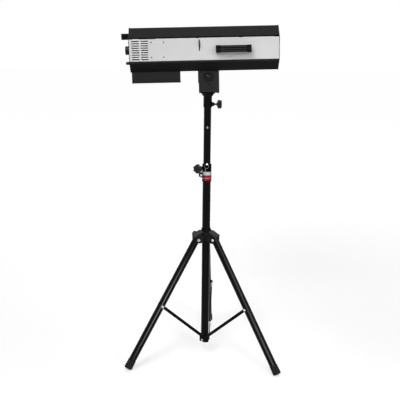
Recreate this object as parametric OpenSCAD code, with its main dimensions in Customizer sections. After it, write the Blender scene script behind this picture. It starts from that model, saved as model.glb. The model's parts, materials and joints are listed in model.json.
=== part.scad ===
// Follow spot on a folding tripod stand, in millimetres.
// Origin: on the floor, on the axis of the mast. +Z is up, +X is the way the lamp points.

/* [Lamp] */
// Length of the lamp case over its end plates
case_len = 667; // [600:1:720]
// Width and height of the case section
case_size = 194; // [180:1:220]
// Height of the white side panels
panel_h = 95; // [90:1:110]
// Distance from the tilt axis back to the rear end of the case
case_back = 350; // [330:1:370]
// Height of the case underside above the tilt axis
case_lift = 26.5; // [26.5:0.5:34]
// Angle of the nose above level in the stored pose
rest_tilt = 1.75; // [0:0.05:5]
// Length of the driver box under the rear end
driver_len = 218; // [180:1:225]
// Depth of the driver box
driver_h = 49.5; // [40:0.5:52]
// Clear diameter of the front opening
front_d = 112; // [90:1:120]

/* [Mast] */
// Outside diameter of the lower tube
lower_d = 39; // [38.6:0.1:40]
// Outside diameter of the upper tube
upper_d = 34.5; // [34:0.1:35]
// Height of the tilt axis above the floor
tilt_z = 1383; // [1370:1:1400]
// Height of the collar's lower rim
collar_z = 891; // [860:1:900]
// Length of the collar
collar_h = 82.7; // [80:0.1:86]
// Outside diameter of the collar
collar_d = 44; // [43:0.5:48]
// Distance between the pin holes in the upper tube
hole_pitch = 171; // [160:1:180]

/* [Tripod] */
// Radius from the mast axis to the middle of each foot
leg_spread = 412; // [380:1:430]
// Turn of the tripod against the lamp
leg_turn = -4.5; // [-30:0.5:30]
// Outside diameter of the leg tubes
leg_d = 35; // [30:0.5:35]
// Height of the leg pivots
crown_z = 609; // [590:1:620]
// Radius from the mast axis to the leg pivots
crown_r = 51; // [48:1:54]
// Distance along a leg from its pivot to the strut bolt
strut_at = 363; // [345:1:372]
// Width of the strut bars
strut_w = 15; // [12:1:18]
// Height of the lower strut pivots
strut_z = 82; // [80:1:90]

/* [Hidden] */
$fn = 48;

black = "#1c1c1e";
dark = "#141415";
panel_white = "#d4d4d4";
zinc = "#c8c9cb";
aluminium = "#a9abae";
glass = "#cfe3ea";
red = "#b3222c";

gap = 0.3;           // between pieces that slide past each other
run = 0.1;           // between a pin and the bore it turns in

// Mast heights
lower_bore = upper_d + 2 * gap;
collar_top = collar_z + collar_h;
lower_top = collar_z + 49;
pin_d = 6;
pin_z = collar_top + pin_d / 2 + gap;
sleeve_z = tilt_z - 142;
sleeve_top = tilt_z - 93;
funnel_top = tilt_z - 75;
upper_top = sleeve_top - 2;
upper_foot = pin_z - 3.14 * hole_pitch;

// Tripod
foot_d = leg_d + 4;
foot_z = 7.5;
leg_angle = atan2(leg_spread - crown_r, crown_z - foot_z);
leg_len = norm([leg_spread - crown_r, crown_z - foot_z]);
foot_len = 43;
bar_face = lower_d / 2 + 0.8;
bar_t = 4;
fitting_z = 70;
fitting_top = 98;
strut_top = [crown_r + strut_at * sin(leg_angle), crown_z - strut_at * cos(leg_angle)];
strut_len = norm([strut_top[0], strut_top[1] - strut_z]);
strut_angle = atan2(strut_top[0], strut_top[1] - strut_z);
ear_in = leg_d / 2 + 0.4;
ear_out = ear_in + 2.5;

// Lamp, measured from the tilt axis
half = case_size / 2;
axis_z = case_lift + half;
x_rear = -case_back;
x_front = case_len - case_back;
end_t = 2;
panel_t = 1.2;
panel_half = panel_h / 2;
flat_half = panel_half;
wall = 2.5;
handle_x = 112;
handle_len = 156;
slot_x = -38;
vent_x = [-336.5, -296.3];
vent_w = 32.4;
vent_rows = 9;
vent_pitch = 9.8;
bracket_x = [-250.5, -196];
bracket_z = [-31, 33.5];
rail_y = 60;
rail_z = -58;
carriage_x = 150;
focus_z = -35.5;
focus_travel = 60;
dimmer_y = -68;
fuse_yz = [-45, -56.5];
inlet_yz = [12, -66];
switch_yz = [60, -50];
switch_cut = [17.4, 26.4];

// Places the case's own axes: X along the beam, the tilt axis at the origin
module on_lamp() translate([0, 0, tilt_z]) rotate([0, -rest_tilt, 0]) children();
module on_beam() on_lamp() translate([0, 0, axis_z]) children();

function leg_az(k) = leg_turn + 90 + 120 * k;
module at_leg(k) rotate([0, 0, leg_az(k)]) children();
// +Z runs down the leg from its pivot, +X towards the mast
module on_leg(k) at_leg(k) translate([crown_r, 0, crown_z]) rotate([0, 180 - leg_angle, 0]) children();
// +Z runs up the strut from its lower pivot, the bar lies on the -Y side
module on_strut(k) at_leg(k) translate([0, -bar_face, strut_z]) rotate([0, strut_angle, 0]) children();

module rod_x(d, x0, x1) translate([x0, 0, 0]) rotate([0, 90, 0]) cylinder(d = d, h = x1 - x0);
module rod_y(d, y0, y1) translate([0, y0, 0]) rotate([-90, 0, 0]) cylinder(d = d, h = y1 - y0);
module slab_x(x0, t) translate([x0, 0, 0]) rotate([90, 0, 90]) linear_extrude(t) children();
module slab_y(y0, t) translate([0, y0 + t, 0]) rotate([90, 0, 0]) linear_extrude(t) children();
module block(lo, hi) translate(lo) cube(hi - lo);
module tube(d, bore, z0, z1) difference() {
    translate([0, 0, z0]) cylinder(d = d, h = z1 - z0);
    translate([0, 0, z0 - 1]) cylinder(d = bore, h = z1 - z0 + 2);
}

// Bolt along +Y with a domed head below y = 0, a washer under it and an optional nut
module domed_bolt(d, len, head_d, nut_at = 0) {
    rod_y(d, -0.5, len);
    rod_y(head_d * 1.25, -1.2, 0);
    intersection() {
        rod_y(head_d, -1.2 - head_d * 0.36, -1);
        translate([0, head_d * 0.32 - 1.2, 0]) sphere(d = head_d * 1.34);
    }
    if (nut_at > 0) translate([0, nut_at, 0]) rotate([-90, 0, 0]) cylinder(d = d * 1.9, h = d * 0.8, $fn = 6);
}

// The same with a thin flat head
module flat_bolt(d, len, head_d) {
    rod_y(d, -0.5, len);
    rod_y(head_d, -1.8, 0);
}

// Lobed hand knob on +Z: a stud, a conical hub and a star head
module star_knob(stud_d, stud_len, head_d, head_h, lobes) {
    cylinder(d = stud_d, h = stud_len + 1);
    translate([0, 0, stud_len - 6]) cylinder(d1 = stud_d + 3, d2 = head_d * 0.55, h = 6);
    translate([0, 0, stud_len]) linear_extrude(head_h) {
        circle(d = head_d * 0.74);
        for (i = [0 : lobes - 1]) rotate(i * 360 / lobes) translate([head_d * 0.33, 0])
            circle(d = head_d * 0.34);
    }
    translate([0, 0, stud_len + head_h - 0.5]) cylinder(d1 = head_d * 0.55, d2 = head_d * 0.42, h = 2.5);
}

// Outline of the case section, from the beam axis
module octagon(grow = 0) {
    h = half + grow;
    f = flat_half + grow * 0.4;
    polygon([[-f, -h], [f, -h], [h, -f], [h, f], [f, h], [-f, h], [-h, f], [-h, -f]]);
}

module slot2d(w, h) {
    r = min(w, h) / 2;
    square([w - 2 * r + 0.001, h - (w < h ? 2 * r : 0)], center = true);
    square([w - (w > h ? 2 * r : 0), h - 2 * r + 0.001], center = true);
    for (s = [-1, 1]) translate(w > h ? [s * (w / 2 - r), 0] : [0, s * (h / 2 - r)]) circle(r);
}

module lower_tube() color(black) tube(lower_d, lower_bore, fitting_top, lower_top);

// Plug in the tube's foot: a three-sided block, one flat for each strut bar
module bottom_fitting() color(dark) difference() {
    union() {
        translate([0, 0, fitting_z]) linear_extrude(fitting_top - fitting_z) intersection() {
            circle(r = lower_d / 2 + 7);
            polygon([for (k = [0 : 2]) 2 * (bar_face - gap) * [cos(leg_az(k) - 30), sin(leg_az(k) - 30)]]);
        }
        translate([0, 0, fitting_z - 5]) cylinder(r1 = lower_d / 2 - 6, r2 = lower_d / 2 - 0.5, h = 5);
        translate([0, 0, fitting_top - 1]) cylinder(d = lower_bore - 0.1, h = 27);
    }
    for (k = [0 : 2]) at_leg(k) translate([0, 0, strut_z]) rod_y(6, -bar_face - 5, -9);
}

// Sleeve clamped round the lower tube, with a boss for the knob and two clamp ears
ear_x = -27;
ear_z = collar_z + 30;
knob_az = 225;
knob_z = collar_z + 67;
module collar() color(black) difference() {
    union() {
        translate([0, 0, collar_z]) cylinder(d = collar_d, h = collar_h);
        translate([0, 0, collar_z]) cylinder(d = collar_d + 1.6, h = 4);
        translate([ear_x, 0, ear_z]) rod_y(23, -10, 10);
        block([ear_x, -10, ear_z - 11.5], [-lower_d / 2, 10, ear_z + 11.5]);
        translate([0, 0, knob_z]) rotate([0, 0, knob_az]) rod_x(16, upper_d / 2 + 2, 41);
    }
    translate([0, 0, collar_z - 1]) cylinder(d = lower_d, h = lower_top - collar_z + 1);
    translate([0, 0, lower_top - 1]) cylinder(d = lower_bore, h = collar_h);
    block([ear_x - 15, -1, ear_z - 13], [-lower_d / 2 + 1, 1, ear_z + 13]);
    translate([ear_x, 0, ear_z]) rod_y(6, -11, 11);
    translate([0, 0, knob_z]) rotate([0, 0, knob_az]) rod_x(8 + 2 * run, 15, 43);
}

// White stripe above a red band, both wrapped round the collar and cut at the ears
module collar_bands() difference() {
    union() {
        color("#dcdad6") tube(collar_d + 0.9, collar_d, collar_z + 32, collar_z + 48);
        color(red) tube(collar_d + 1.3, collar_d, collar_z + 5, collar_z + 31.9);
    }
    block([-30, -12.5, collar_z], [-12, 12.5, collar_top]);
}

// Strut pivot bolts in the bottom fitting and the clamp bolt in the collar's ears
module column_bolts() color(zinc) {
    for (k = [0 : 2]) at_leg(k) translate([0, -bar_face - bar_t - gap, strut_z]) flat_bolt(6, 14, 11);
    translate([ear_x, -10, ear_z]) domed_bolt(6, 22, 8.5, 20);
}

// Sliding crown: a sleeve on the lower tube and three forked arms for the legs
crown_foot = crown_z - 17;
crown_top = crown_z + 39;
arm_end = crown_r + 13;
arm_tip = [arm_end, crown_z + 18.5];
arm_root = [25, crown_z + 37.5];
arm_fall = atan2(arm_root[1] - arm_tip[1], arm_tip[0] - arm_root[0]);
boss_at = [31, crown_z + 32];
boss_tilt = 35;
lock_az = leg_turn + 150;
lock_z = crown_z + 9;
module arm_ear() polygon([[22, crown_foot], [crown_r + 5, crown_foot], [arm_end, crown_foot + 10],
    arm_tip, arm_root, [22, crown_top]]);
module arm_web() polygon([[20, crown_top - 4], arm_root - [0, 3.4], arm_tip - [0, 3.4], arm_tip, arm_root,
    [20, crown_top]]);
// +X runs out of the tilted socket boss between two arms
module on_boss(i) rotate([0, 0, lock_az + 120 * i]) translate([boss_at[0], 0, boss_at[1]])
    rotate([0, -boss_tilt, 0]) children();
module crown() color(black) difference() {
    union() {
        translate([0, 0, crown_foot]) cylinder(d = 50, h = crown_top - crown_foot - 4);
        translate([0, 0, crown_top - 4.5]) cylinder(d1 = 51, d2 = lower_d + 3, h = 18);
        for (k = [0 : 2]) at_leg(k) {
            for (s = [-1, 1]) slab_y(s > 0 ? ear_in : -ear_out, ear_out - ear_in) arm_ear();
            slab_y(-ear_in, 2 * ear_in) arm_web();
        }
        for (i = [1, 2]) on_boss(i) rod_x(28, -20, 0);
        translate([0, 0, lock_z]) rotate([0, 0, lock_az]) rod_x(18, 20, 38);
    }
    translate([0, 0, crown_foot - 1]) cylinder(d = lower_d + 2 * gap, h = 90);
    for (k = [0 : 2]) at_leg(k) translate([crown_r, 0, crown_z]) rod_y(8, -ear_out - 1, ear_out + 1);
    for (i = [1, 2]) on_boss(i) rod_x(12, -5, 1);
    translate([0, 0, lock_z]) rotate([0, 0, lock_az]) rod_x(8 + 2 * run, 15, 40);
}

// Plastic caps over the sloped backs of the arms, with a lip in front and a skirt down each side
cover_t = 2.4;
cover_lip = 1.5;
cover_w = 2 * ear_out + 2;
function cover_edge(x, rise) = [x, arm_tip[1] - (x - arm_end) * tan(arm_fall) + rise / cos(arm_fall)];
cover_tip = cover_edge(arm_end + 0.2 + cover_lip, cover_t);
cover_x = arm_root[0] + 1.5;
skirt_x = arm_root[0] + 5;
module crown_covers() color("#2a2a2c") for (k = [0 : 2]) at_leg(k) {
    slab_y(-cover_w / 2, cover_w) polygon([cover_edge(cover_x, 0.1), cover_edge(cover_x, cover_t), cover_tip,
        [cover_tip[0], arm_tip[1] - 4], [arm_end + 0.2, arm_tip[1] - 4], cover_edge(arm_end + 0.2, 0.1)]);
    for (y = [-cover_w / 2, ear_out + 0.1]) slab_y(y, cover_w / 2 - ear_out - 0.1)
        polygon([cover_edge(skirt_x, cover_t), cover_tip, [cover_tip[0], arm_tip[1] - 4],
            [arm_end - 6, arm_tip[1] - 4], cover_edge(skirt_x, -5)]);
}

module leg_pivot_bolts() color(zinc) for (k = [0 : 2]) at_leg(k) translate([crown_r, -ear_out, crown_z])
    domed_bolt(8, 2 * ear_out + 7, 11, 2 * ear_out);

module crown_knob() color(dark) translate([0, 0, lock_z]) rotate([0, 0, lock_az])
    rotate([0, 90, 0]) translate([0, 0, lower_d / 2 + gap]) star_knob(8, 40, 30, 15, 5);

// Leg tube with a rounded plug at the pivot, a spacer boss and a weld nut for the strut
module leg(k) color(black) on_leg(k) difference() {
    union() {
        cylinder(d = leg_d, h = leg_len - 8);
        intersection() {
            translate([0, 0, -leg_d / 2]) cylinder(d = leg_d, h = leg_d / 2 + 1);
            rod_y(leg_d, -leg_d / 2, leg_d / 2);
        }
        translate([0, 0, strut_at]) rod_y(16, -bar_face + gap, -leg_d / 2 + 2);
        translate([0, 0, strut_at]) rotate([-90, 0, 0]) translate([0, 0, leg_d / 2 - 1])
            cylinder(d = 13, h = 5.5, $fn = 6);
    }
    translate([0, 0, 24]) cylinder(d = leg_d - 3, h = leg_len);
    rod_y(8 + 2 * run, -leg_d, leg_d);
}

// Rubber cap on a leg, worn flat where it meets the floor
module foot(k) color("#101011") difference() {
    on_leg(k) difference() {
        translate([0, 0, leg_len - foot_len]) cylinder(d = foot_d, h = foot_len);
        translate([0, 0, leg_len - foot_len - 1]) cylinder(d = leg_d, h = foot_len - 7);
    }
    translate([0, 0, -50]) cube([1200, 1200, 100], center = true);
}

// Flat strut bar with a pressed groove down its outer face
module strut(k) color(black) on_strut(k) difference() {
    rotate([90, 0, 0]) linear_extrude(bar_t) difference() {
        union() {
            translate([-strut_w / 2, 0]) square([strut_w, strut_len]);
            for (z = [0, strut_len]) translate([0, z]) circle(d = strut_w);
        }
        circle(d = 6 + 2 * run);
        translate([0, strut_len]) circle(d = 6);
    }
    block([-2.5, -bar_t - 1, 22], [2.5, -bar_t + 0.8, strut_len - 22]);
}
module strut_bolt(k) color(zinc) on_strut(k) translate([0, -bar_t, strut_len]) domed_bolt(6, bar_t, 10);

// Upper tube with its row of pin holes
module upper_tube() color(black) difference() {
    tube(upper_d, upper_d - 3.2, upper_foot, upper_top);
    for (i = [-2 : 1]) translate([0, 0, pin_z + i * hole_pitch]) rod_y(pin_d + 2 * run, -30, 30);
}

module collar_knob() color(dark) translate([0, 0, knob_z]) rotate([0, 0, knob_az])
    rotate([0, 90, 0]) translate([0, 0, upper_d / 2 + gap]) star_knob(8, 34, 44, 23, 6);

// Lock pin with an eye for its ring
eye_y = -29;
module lock_pin() color(zinc) translate([0, 0, pin_z]) difference() {
    union() {
        rod_y(pin_d, -25, 24);
        rod_y(9, eye_y + 2, eye_y + 4);
        block([-2.5, eye_y - 2.5, -4], [2.5, eye_y + 2.5, 4]);
    }
    translate([0, eye_y, 0]) rod_x(4, -5, 5);
}
ring_r = 9.6;
ring_c = [-2, eye_y, pin_z - ring_r];
module split_ring() color(zinc) translate(ring_c) rotate([90, 0, 0])
    rotate_extrude() translate([ring_r, 0]) circle(d = 1.6, $fn = 24);

// Wire lanyard from the ring to the collar's clamp ear
lanyard_d = 1.4;
lanyard_route = [[-8, -29, 956.6], [-8.2, -29.2, 954], [-8, -29.3, 951.4], [-7.7, -29.2, 948.8],
    [-7.6, -28.9, 946.2], [-8, -28.5, 943.6], [-9, -27.9, 941.2], [-10.4, -27.1, 939],
    [-12.2, -26.1, 937], [-14.3, -24.9, 935.2], [-16.4, -23.5, 933.8], [-18.3, -21.8, 932.6],
    [-19.9, -19.7, 931.6], [-21.1, -17.2, 930.8], [-21.8, -14.1, 930.2], [-22, -10, 929.6]];
function unit(v) = v / norm(v);
function route_dir(p, i) = unit(p[min(i + 1, len(p) - 1)] - p[max(i - 1, 0)]);
function side_dir(d) = unit(cross(d, [0.3, 0.9, 0.2]));
module pin_lanyard() color(zinc) wire(lanyard_route, lanyard_d, 8);
module wire(p, d, sides) {
    last = len(p) - 1;
    points = [for (i = [0 : last]) let (t = route_dir(p, i), u = side_dir(t), v = cross(t, u))
        for (j = [0 : sides - 1]) p[i] + d / 2 * (cos(360 * j / sides) * u + sin(360 * j / sides) * v)];
    walls = [for (i = [0 : last - 1], j = [0 : sides - 1])
        let (a = i * sides + j, b = i * sides + (j + 1) % sides)
        each [[a, b, a + sides], [b, b + sides, a + sides]]];
    foot_end = [for (j = [1 : sides - 2]) [0, j + 1, j]];
    head = last * sides;
    head_end = [for (j = [1 : sides - 2]) [head, head + j, head + j + 1]];
    polyhedron(points, concat(walls, foot_end, head_end));
}

// Stand adapter: a sleeve over the upper tube, a funnel and a fork for the saddle
fork_y = 40.5;
fork_t = 3;
clamp_z = sleeve_z + 14.5;
module stand_adapter() color(black) difference() {
    union() {
        translate([0, 0, sleeve_z]) cylinder(d = 40, h = sleeve_top - sleeve_z);
        translate([0, 0, sleeve_top - 0.01]) cylinder(d1 = 40, d2 = 66, h = funnel_top - sleeve_top);
        block([-33, -fork_y, funnel_top - 0.5], [33, fork_y, funnel_top + 4]);
        for (y = [-fork_y, fork_y - fork_t]) slab_y(y, fork_t) difference() {
            union() {
                translate([0, tilt_z]) circle(r = 22);
                polygon([[-30, funnel_top], [30, funnel_top], [22, tilt_z], [-22, tilt_z]]);
            }
            translate([0, tilt_z]) circle(d = 12 + 2 * run);
        }
        translate([17, 0, clamp_z]) rotate([0, 90, 0]) cylinder(d1 = 26, d2 = 12, h = 16);
    }
    translate([0, 0, sleeve_z - 1]) cylinder(d = upper_d + 2 * run, h = upper_top - sleeve_z + 1 + gap);
    translate([0, 0, clamp_z]) rod_x(8 + 2 * run, 10, 40);
}

// Fluted clamp knob on its stud
module fluted(d, h, flutes) linear_extrude(h) difference() {
    circle(d = d);
    for (i = [0 : flutes - 1]) rotate(i * 360 / flutes) translate([d / 2 + 1.2, 0]) circle(d = 5);
}
module adapter_knob() color(dark) translate([upper_d / 2 + gap, 0, clamp_z]) rotate([0, 90, 0]) {
    cylinder(d = 8, h = 32);
    translate([0, 0, 23.5]) cylinder(d1 = 11, d2 = 30, h = 6);
    translate([0, 0, 28.5]) fluted(40, 18, 12);
    translate([0, 0, 45.5]) cylinder(d1 = 34, d2 = 30, h = 2.5);
}

// Bent saddle fixed under the case: a web and two cheeks with arched feet
saddle_y = fork_y + 0.5;
saddle_t = 3;
saddle_x = [-42.5, 49.5];
saddle_foot = -74;
saddle_tab = 3;
module cheek() difference() {
    polygon([[saddle_x[0] - saddle_tab, case_lift], [saddle_x[0] - saddle_tab, -29], [saddle_x[0], -29],
        [saddle_x[0], saddle_foot], [saddle_x[1], saddle_foot], [saddle_x[1], case_lift]]);
    translate([-1, saddle_foot - 146]) circle(r = 152);
    circle(d = 12);
    translate([0, -34]) circle(d = 5.5);
}
module saddle() color(black) on_lamp() {
    for (y = [-saddle_y - saddle_t, saddle_y]) slab_y(y, saddle_t) cheek();
    block([saddle_x[0] - saddle_tab, -saddle_y - saddle_t, case_lift - saddle_t],
        [saddle_x[1], saddle_y + saddle_t, case_lift]);
}
module tilt_bolt() color(dark) on_lamp() {
    translate([0, -saddle_y - saddle_t, 0]) {
        rod_y(12, -1, 2 * (saddle_y + saddle_t) + 22);
        rod_y(52, -1.2, 0);
        rod_y(37, -3.2, -1.1);
        intersection() {
            rod_y(24, -12, -3.1);
            translate([0, 9, 0]) sphere(d = 43);
        }
    }
    rod_y(43, saddle_y + saddle_t, saddle_y + saddle_t + 2);
}
module tilt_knob() color(dark) on_lamp() translate([0, saddle_y + saddle_t + 2 + gap, 0]) rotate([-90, 0, 0])
    difference() {
        union() {
            cylinder(d = 26, h = 9);
            translate([0, 0, 8]) linear_extrude(17) {
                circle(d = 37);
                for (i = [0 : 5]) rotate(i * 60) translate([16.5, 0]) circle(d = 17);
            }
        }
        translate([0, 0, -1]) cylinder(d = 12 + 2 * run, h = 22);
    }

// Sloped extrusions that close the case above and below
lip = panel_half + 1;
module profile2d() polygon([[-half - 0.6, lip], [-half - 0.6, lip + 2.5], [-flat_half, half],
    [flat_half, half], [half + 0.6, lip + 2.5], [half + 0.6, lip], [half - 2, lip], [half - 2, lip + 1.5],
    [flat_half - 1, half - wall], [1 - flat_half, half - wall], [2 - half, lip + 1.5], [2 - half, lip]]);
module top_profile() color(black) on_beam() slab_x(x_rear + end_t, case_len - 2 * end_t) profile2d();
module bottom_profile() color(black) on_beam() slab_x(x_rear + end_t, case_len - 2 * end_t)
    mirror([0, 1]) profile2d();

// Sheet-metal side with folded edges, vent slots and screw holes. side -1 faces -Y
module side_panel(side) on_beam() difference() {
    union() {
        block([x_rear + end_t, side > 0 ? half - panel_t : -half, -panel_half],
            [x_front - end_t, side > 0 ? half : panel_t - half, panel_half]);
        for (z = [-panel_half, panel_half - panel_t]) block([x_rear + end_t, side > 0 ? half - 9 : -half, z],
            [x_front - end_t, side > 0 ? half : 9 - half, z + panel_t]);
    }
    slab_y(side > 0 ? half - 5 : -half - 5, 10) {
        for (x = vent_x, i = [0 : vent_rows - 1])
            translate([x + vent_w / 2, (i - (vent_rows - 1) / 2) * vent_pitch])
                square([vent_w, 4.6], center = true);
        if (side < 0) translate([slot_x, 17.5]) slot2d(5.6, 49.5);
        if (side > 0) translate([carriage_x, focus_z]) slot2d(2 * focus_travel + 12, 7.4);
        for (x = bracket_x, z = bracket_z) translate([x, z]) circle(d = 4);
    }
}
module side_panel_near() color(panel_white) side_panel(-1);
module side_panel_far() color(panel_white) side_panel(1);

module front_plate() color(dark) on_beam() slab_x(x_front - end_t, end_t) difference() {
    octagon(1.2);
    circle(d = front_d);
}
grille_r = 44;
module rear_plate() color(dark) on_beam() slab_x(x_rear, end_t) difference() {
    octagon(1.2);
    for (i = [-4 : 4]) let (z = i * 9.5) translate([0, z])
        square([2 * sqrt(grille_r * grille_r - z * z), 5], center = true);
    translate([dimmer_y, 0]) circle(d = 6 + 2 * run);
    translate(fuse_yz) circle(d = 12);
    translate(inlet_yz) square([28, 20], center = true);
    translate(switch_yz) square(switch_cut, center = true);
}

// Pan-head screws in the end plates and the side panels
module pan_head(d) intersection() {
    cylinder(d = d, h = d * 0.34);
    translate([0, 0, -d * 0.36]) sphere(d = d * 1.4);
}
module case_screws() color(zinc) on_beam() {
    for (s = [-1, 1], y = [-1, 1], z = [-1, 1], p = [[88, 34], [36, 88]])
        translate([s > 0 ? x_front : x_rear, y * p[0], z * p[1]]) rotate([0, s * 90, 0]) pan_head(8);
    for (s = [-1, 1], x = bracket_x, z = bracket_z) translate([x, s * half, z]) rotate([-s * 90, 0, 0]) {
        pan_head(6);
        translate([0, 0, -5]) cylinder(d = 4 - 2 * run, h = 5.5);
    }
}

// Moulded pull handle along +X on a face at z = 0, standing off along +Z
module pull_handle(len, w, h) {
    foot = 15;
    for (s = [-1, 1]) slab_y(-w / 2, w) polygon([[s * len / 2, 0], [s * len / 2, h - 9],
        [s * (len / 2 - 7), h], [s * (len / 2 - foot - 4), h], [s * (len / 2 - foot), 0]]);
    block([-len / 2 + foot - 1, 1 - w / 2, h - 13], [len / 2 - foot + 1, w / 2 - 1, h - 0.8]);
}
module side_handles() color(dark) on_beam() for (s = [-1, 1])
    translate([handle_x, s * half, 0]) rotate([-s * 90, 0, 0]) pull_handle(handle_len, 32, 38);
rear_handle_z = 60;
module rear_handle() color(dark) on_beam() translate([x_rear, 0, rear_handle_z]) rotate([0, -90, 0])
    rotate([0, 0, 90]) pull_handle(128, 27, 34);

// Driver box screwed under the rear end, with a lipped floor
box_x = -345;
box_w = 96;
module driver_box() color(black) on_lamp() difference() {
    union() {
        block([box_x, -box_w / 2, case_lift - driver_h], [box_x + driver_len, box_w / 2, case_lift]);
        block([box_x - 1.5, -box_w / 2 - 1.5, case_lift - driver_h],
            [box_x + driver_len + 1.5, box_w / 2 + 1.5, case_lift - driver_h + 2]);
    }
    block([box_x + 1.5, 1.5 - box_w / 2, case_lift - driver_h + 1.5],
        [box_x + driver_len - 1.5, box_w / 2 - 1.5, case_lift + 1]);
}
module led_driver() color(aluminium) on_lamp() block([box_x + 15, -36, case_lift - driver_h + 1.5],
    [box_x + driver_len - 20, 36, case_lift - 8]);

// Lens with its flat face at z = 0 and its rounded face towards +Z
module plano_convex(d, edge, bulge) {
    r = (d * d / 4 + bulge * bulge) / (2 * bulge);
    rotate_extrude($fn = 96) intersection() {
        square([d / 2, edge + bulge]);
        translate([0, edge + bulge - r]) circle(r = r, $fn = 240);
    }
}

// Light engine, from the rear: fan, heat sink, LED module, condenser
module fan_frame() color(dark) on_beam() {
    slab_x(-334, 25) difference() {
        square(92, center = true);
        circle(d = 87);
        for (y = [-41, 41], z = [-41, 41]) translate([y, z]) circle(d = 4.3);
    }
    rod_x(34, -334, -331.5);
    for (i = [0 : 3]) rotate([45 + 90 * i, 0, 0]) block([-334, -2, 16], [-331.5, 2, 44.5]);
}
module fan_rotor() color("#26272a") on_beam() {
    rod_x(34, -331, -312);
    for (i = [0 : 6]) rotate([i * 360 / 7, 0, 0]) translate([-320.5, 0, 15]) rotate([0, 0, 35])
        block([-11, -1, 0], [11, 1, 26]);
}
module heat_sink() color(aluminium) on_beam() {
    block([-246, -56, -56], [-238, 56, 56]);
    for (i = [-6 : 6]) block([-306, i * 9 - 1, -54], [-245.5, i * 9 + 1, 54]);
    for (s = [-1, 1]) block([-309, s * 46 - 4, -44], [-305.5, s * 46 + 4, 44]);
}
module led_module() color("#d8c24a") on_beam() {
    rod_x(64, -238, -235);
    rod_x(24, -235.1, -233.5);
}
module condenser_holder() color(aluminium) on_beam() {
    difference() {
        union() {
            rod_x(88, -233, -190);
            block([-228, -half + panel_t, -38], [-224, half - panel_t, 40]);
            for (s = [-1, 1]) block([-264, s > 0 ? half - panel_t - 2 : panel_t - half, -38],
                [-188, s > 0 ? half - panel_t : panel_t + 2 - half, 40]);
        }
        rod_x(72, -240, -214);
        rod_x(80, -214.1, -180);
        for (x = bracket_x, z = bracket_z) translate([x, 0, z]) rod_y(4, -100, 100);
    }
}
module condenser_lens() color(glass, 0.5) on_beam() translate([-214, 0, 0]) rotate([0, 90, 0])
    plano_convex(80, 6, 15);

// Iris: a fixed housing and the ring with the lever that opens it
iris_rest = asin(22.5 / half);
module iris_housing() color(dark) on_beam() difference() {
    union() {
        slab_x(-54, 6) octagon(-10);
        block([-54, -half + panel_t, -30], [-48, half - panel_t, 30]);
        rod_x(80 - 2 * run, -48.1, -36);
    }
    rod_x(70, -60, -30);
}
module iris_ring() color("#3a3b3e") on_beam() {
    slab_x(-47.5, 10) difference() {
        circle(d = 104);
        circle(d = 80);
    }
    rotate([-iris_rest, 0, 0]) block([slot_x - 2, -half - 20, -8], [slot_x + 2, -45, 8]);
}

// Focus: a lens carriage on two rails, moved by a knob outside the far panel
module lens_rails() color(zinc) on_beam() for (s = [-1, 1]) translate([0, s * rail_y, rail_z])
    rod_x(8, -48, x_front - end_t);
module lens_carriage() color(dark) on_beam() translate([carriage_x, 0, 0]) difference() {
    union() {
        rod_x(106, -7, 7);
        block([-7, -rail_y - 9, rail_z - 8], [7, rail_y + 9, rail_z + 8]);
        block([-7, -40, rail_z], [7, 40, -44]);
        block([-5, 40, focus_z - 5], [5, half - 14, focus_z + 5]);
        translate([0, 0, focus_z]) rod_y(6, 60, half + 6);
        translate([0, half + 1, focus_z]) rod_y(14, 0, 4);
        translate([0, half + 4.5, focus_z]) rotate([-90, 0, 0]) fluted(26, 14, 10);
    }
    rod_x(90, -8, 8);
    for (s = [-1, 1]) translate([0, s * rail_y, rail_z]) rod_x(8 + 2 * run, -8, 8);
}
module focus_lens() color(glass, 0.5) on_beam() translate([carriage_x - 7, 0, 0]) rotate([0, 90, 0])
    plano_convex(90, 6, 9);
module front_lens() color(glass, 0.5) on_beam() translate([x_front - end_t, 0, 0]) rotate([0, -90, 0])
    plano_convex(front_d + 8, 8, 13);
module lens_ring() color(dark) on_beam() slab_x(x_front, 3) difference() {
    circle(d = front_d + 20);
    circle(d = front_d - 4);
}

// Fittings on the rear plate
module mains_inlet() color(dark) on_beam() {
    difference() {
        union() {
            slab_x(x_rear - 3, 3) translate(inlet_yz) square([48, 24], center = true);
            slab_x(x_rear - 0.1, 24) translate(inlet_yz) square([28, 20], center = true);
        }
        slab_x(x_rear - 4, 20) translate(inlet_yz) square([24, 16], center = true);
    }
    slab_x(x_rear + 5, 12) translate(inlet_yz) for (y = [-7, 0, 7]) translate([y, y == 0 ? 3 : -1])
        square([2, 5], center = true);
}
module fuse_holder() color(dark) on_beam() translate([x_rear, fuse_yz[0], fuse_yz[1]]) rotate([0, -90, 0]) {
    translate([0, 0, -22]) cylinder(d = 12, h = 23);
    cylinder(d = 16, h = 4);
    translate([0, 0, 3.5]) fluted(14, 13.5, 8);
    translate([0, 0, 16.5]) cylinder(d1 = 11, d2 = 6, h = 3);
}
module dimmer_knob() color(dark) on_beam() translate([x_rear, dimmer_y, 0]) rotate([0, -90, 0]) {
    translate([0, 0, -12]) cylinder(d = 6, h = 14);
    translate([0, 0, gap]) cylinder(d = 40, h = 4);
    translate([0, 0, 4]) fluted(38, 13, 18);
}
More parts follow.
